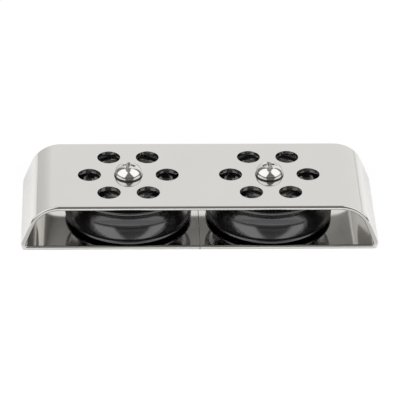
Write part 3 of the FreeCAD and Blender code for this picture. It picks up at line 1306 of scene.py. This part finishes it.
@dataclass(frozen=True)
class Studio:
    """A white table and backdrop, two big soft lights overhead and a dark room behind the camera.

    Directions are in degrees: the azimuth from the camera's side round to the backdrop at 180,
    the same on both sides, and the elevation above the table. Levels are shares of white.
    """

    white: float = 1.05  # what the camera sees of table and backdrop
    wall_edge: float = 135.0  # the azimuth of the backdrop's edges
    wall_skew: float = 6.0  # how much further the backdrop reaches on the right than on the left
    wall_soft: float = 1.5  # how soft its edges are, and those of the far wall
    crisp: float = 1.0  # how soft the sharpest edges are
    wall_top: float = 65.0  # the elevation of its top
    dim_start: float = -162.0  # the azimuth where its left part begins to be dimmer
    dim_end: float = -147.0  # the azimuth where that part has its full depth
    dim_share: float = 0.72  # the level there
    light_skew: float = 8.0  # how far the middle between the soft lights lies to the right
    light_near: float = 37.0  # how far from that middle they begin at their lower edge
    light_soft: float = 4.0  # how soft their near edges are
    light_lean: float = 15.0  # how much nearer to the middle they begin at their upper edge
    light_far: float = 102.0  # the azimuth where they end, at the table's height
    light_sweep: float = 0.36  # how far they reach back for each degree of elevation
    light_low: float = 7.0  # the elevation of their lower edges
    light_high: float = 76.0  # the elevation of their upper edges
    top_soft: float = 2.0  # how soft the upper edges of the lights and the backdrop are
    light_level: float = 1.32  # how bright the lights are in reflections
    gap_level: float = 0.25  # the level between them and the backdrop
    room_low: float = 0.07  # the level of the dark room near the table
    room_high: float = 0.28  # the level of the dark room overhead
    room_rise: float = 75.0  # the elevation where it has that level
    roof_soft: float = 3.0  # how soft its edge above the lights is
    far_wall: float = 0.25  # the level of its far wall, low behind the camera
    far_low: float = 12.5  # the elevation where that wall begins
    far_high: float = 29.5  # the elevation where it ends
    horizon: float = -1.25  # the elevation where the table begins
    horizon_soft: float = 0.75  # how soft its edge is
    fill: float = 0.4  # the even light on matt surfaces
    lamp_level: float = 6.5  # the radiance of the lamps that light matt surfaces
    lamp_turn: float = 28.0  # the azimuth of the lamps, on both sides of the camera
    lamp_rise: float = 30.0  # their elevation
    lamp_size: float = 0.7  # the length of their sides
    lamp_distance: float = 1.3  # how far off they stand
    shadow_share: float = 0.12  # the share of the table's white that a shadow can take away
    table_size: float = 2.5  # half of the table's width
    table_gap: float = 0.00005  # how far it lies under the base
    inset: float = 0.0005  # how far inside the base's outline the table lets light through
    seam_half: float = 0.0002  # half of the strip under the seam where it doesn't
    table_paint: float = 0.86  # how much light it gives back
    table_shine: float = 1.26  # how much it gives back where a polished surface shows it
    # The table's levels below paint shade and a shadow round the object where polished surfaces show the
    # table.
    table_near: float = 0.036  # how far in front of the base the table stays white where a polished surface shows it
    table_fade: float = 0.012  # over how far it fades there
    beyond: float = 0.16  # the level of the painted shade beyond that
    front_shade: float = 0.6  # the share of it left in the shade in front of the object
    front_far: float = 0.027  # how far that shade reaches
    foot_shade: float = 0.5  # the share left right at the base's foot
    foot_near: float = 0.0025  # how far the shade there reaches
    lee_left: float = 0.14  # the share of the table's light left by the painted shade behind the object on the left
    lee_right: float = 0.42  # the share left by it on the right
    lee_half: float = 0.06  # over how far to both sides of the middle the one turns into the other
    lee_edge: float = 0.008  # how far inside the object's ends that shade has its full depth
    back_fade: float = 0.036  # over how far the shade deepens behind the object
    back_end: float = 0.09  # where the table begins to be lit again

    @staticmethod
    def emptied(owner: Union[bpy.types.World, bpy.types.Material]) -> Tree:
        """The node tree of a world or material, with nothing in it.

        Args:
            owner: The world or material.

        Returns:
            The tree.
        """
        owner.use_nodes = True
        owner.node_tree.nodes.clear()
        return owner.node_tree

    @staticmethod
    def rays(tree: Tree) -> tuple[Number, Number]:
        """1 for the camera's own rays, and 1 for mirrored or refracted ones.

        Args:
            tree: The tree of a shader.

        Returns:
            The two numbers.
        """
        kinds = add_node(tree, "ShaderNodeLightPath").outputs
        shiny = Number(tree, kinds["Is Glossy Ray"]).math("MAXIMUM", kinds["Is Transmission Ray"])
        return Number(tree, kinds["Is Camera Ray"]), shiny

    def reflections(self, tree: Tree) -> Number:
        """What shines in polished surfaces, by direction.

        Args:
            tree: The world's tree.

        Returns:
            The level, where 1 is white.
        """
        way = add_node(tree, "ShaderNodeTexCoord").outputs["Generated"]
        x, y, z = Number(tree, way).parts()
        to_degrees = 180 / math.pi
        azimuth = x.math("ARCTAN2", y * -1.0) * to_degrees
        rise = z.math("MINIMUM", 1.0).math("MAXIMUM", -1.0).math("ARCSINE") * to_degrees
        wall = ((azimuth + self.wall_skew).math("ABSOLUTE").above(self.wall_edge, self.wall_soft)
                * rise.below(self.wall_top, self.top_soft))
        lit = (azimuth.ramp(self.dim_start, self.dim_end, 1.0, self.dim_share, smooth=False)
               + azimuth.above(0.0, self.crisp) * (1 - self.dim_share))
        level = Number(tree, self.gap_level).blend(lit, wall)
        near = ((azimuth - self.light_skew).math("ABSOLUTE")
                + rise.ramp(self.light_low, self.light_high, 0.0, self.light_lean, smooth=False))
        far = azimuth.math("ABSOLUTE") - rise.math("MAXIMUM", 0.0) * self.light_sweep
        lamp = (near.above(self.light_near, self.light_soft) * far.below(self.light_far, self.top_soft)
                * rise.above(self.light_low, self.crisp) * rise.below(self.light_high, self.top_soft))
        level = level.blend(self.light_level, lamp)
        dark = rise.ramp(0.0, self.room_rise, self.room_low, self.room_high, smooth=False)
        dark = dark.blend(self.far_wall, rise.above(self.far_low, self.wall_soft)
                          * rise.below(self.far_high, self.wall_soft))
        room = near.below(self.light_near - self.light_soft, self.light_soft)
        roof = rise.above(self.light_high + self.roof_soft, self.roof_soft)
        level = level.blend(dark, room.math("MAXIMUM", roof))
        return level.blend(1.0, rise.below(self.horizon, self.horizon_soft))

    def sky(self) -> None:
        """The world: white to the camera, the studio in reflections, an even fill on matt surfaces."""
        world = bpy.data.worlds.new("studio")
        tree = self.emptied(world)
        seen, shiny = self.rays(tree)
        level = Number(tree, self.fill).blend(self.reflections(tree), shiny).blend(self.white, seen)
        light = add_node(tree, "ShaderNodeBackground", Color=WHITE, Strength=level)
        add_node(tree, "ShaderNodeOutputWorld", Surface=light.outputs[0])
        bpy.context.scene.world = world

    def shade(self, x: Number, y: Number, foot: Vector) -> Number:
        """How white the table is where a polished surface shows it: a painted shadow round the object
        and painted shade farther in front.

        Args:
            x: The place along the object.
            y: The place across it.
            foot: The base's half length and half width.

        Returns:
            The share of the table's light that is left.
        """
        front, foot_end = -foot.y, -foot.y - self.foot_near
        edge = front - self.table_near
        lit = y.ramp(edge - self.table_fade, edge, self.beyond, 1.0)
        patch = (y.ramp(foot_end - self.front_far, front - self.front_far)
                 * y.ramp(foot_end, foot_end - self.foot_near))
        before = y.ramp(foot_end, front, 1.0, self.foot_shade).blend(self.front_shade, patch)
        lit = lit * before.blend(1.0, y.math("GREATER_THAN", front))
        lee = x.ramp(-self.lee_half, self.lee_half, self.lee_left, self.lee_right)
        back = y.ramp(foot.y, foot.y + self.back_fade) * y.ramp(2 * self.back_end, self.back_end)
        beside = x.math("ABSOLUTE").ramp(foot.x, foot.x - self.lee_edge)
        return lit * Number(x.tree, 1.0).blend(lee, back * beside)

    def mix(self, tree: Tree, share: Number, first: Node, second: Node) -> Node:
        """Two shaders mixed, the second one by a share.

        Args:
            tree: Their tree.
            share: The second one's share.
            first: The first shader.
            second: The second shader.

        Returns:
            The mixed shader.
        """
        node = add_node(tree, "ShaderNodeMixShader", Fac=share)
        for socket, shader in zip(node.inputs[1:], (first, second)):
            tree.links.new(shader.outputs[0], socket)
        return node

    def table(self) -> None:
        """The white table under the base, which keeps a soft real shadow, has painted shade where
        polished surfaces show it, and is clear from below.
        """
        data = bpy.data.meshes.new("table")
        size = self.table_size
        corners = ((-size, -size), (size, -size), (size, size), (-size, size))
        data.from_pydata([(x, y, -self.table_gap) for x, y in corners], [], [(0, 1, 2, 3)])
        table = put("table", data)
        material = bpy.data.materials.new("white_table")
        tree = self.emptied(material)
        seen, shiny = self.rays(tree)
        spot = add_node(tree, "ShaderNodeTexCoord").outputs["Object"]
        x, y, _ = Number(tree, spot).parts()
        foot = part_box("housing")[1]
        # Where polished surfaces show the table, its brighter level is multiplied by the painted shade
        # and shadow of shade().
        level = ((shiny * (self.table_shine - self.table_paint) + self.table_paint)
                 * self.shade(x, y, foot).blend(1.0, 1.0 - shiny))
        paint = add_node(tree, "ShaderNodeBsdfDiffuse", Color=level)
        glow = add_node(tree, "ShaderNodeEmission", Color=WHITE, Strength=self.white)
        clear = tree.nodes.new("ShaderNodeBsdfTransparent")
        wide, deep = x.math("ABSOLUTE"), y.math("ABSOLUTE")
        free = (wide.math("GREATER_THAN", foot.x - self.inset)
                .math("MAXIMUM", deep.math("GREATER_THAN", foot.y - self.inset)))
        solid = free.math("MAXIMUM", wide.math("LESS_THAN", self.seam_half))
        below = Number(tree, add_node(tree, "ShaderNodeNewGeometry").outputs["Backfacing"])
        below = below.math("MAXIMUM", (1.0 - solid) * (1.0 - seen))
        top = self.mix(tree, seen * free * (1 - self.shadow_share), paint, glow)
        add_node(tree, "ShaderNodeOutputMaterial", Surface=self.mix(tree, below, top, clear).outputs[0])
        data.materials.append(material)

    def lamps(self) -> None:
        """Two soft lights beside the camera that shape matt surfaces and throw their shadows back."""
        for side in Side:
            way = towards(side.sign * self.lamp_turn, self.lamp_rise)
            data = bpy.data.lights.new(side.node("soft_light"), "AREA")
            data.shape = "SQUARE"
            data.size = self.lamp_size
            data.energy = self.lamp_level * math.pi * self.lamp_size ** 2
            lamp = put(side.node("soft_light"), data)
            lamp.location = way * self.lamp_distance
            lamp.rotation_mode = "QUATERNION"
            lamp.rotation_quaternion = way.to_track_quat("Z", "Y")
            lamp.visible_camera = False
            lamp.visible_glossy = False

    def build(self) -> None:
        """Set the studio up."""
        self.sky()
        self.table()
        self.lamps()
        bpy.context.scene.view_settings.view_transform = "Standard"


def main() -> None:
    """Build the organizer, its camera and its studio."""
    logging.basicConfig(level=logging.INFO, format="%(name)s: %(message)s")
    PhotoCamera().build()
    Studio().build()
    FoldedHousing().build()
    for side in Side:
        GroovedSheave(side).build()
        RollerBearing(side).build()
        MountingScrew(side).build()


if __name__ == "__main__":
    main()
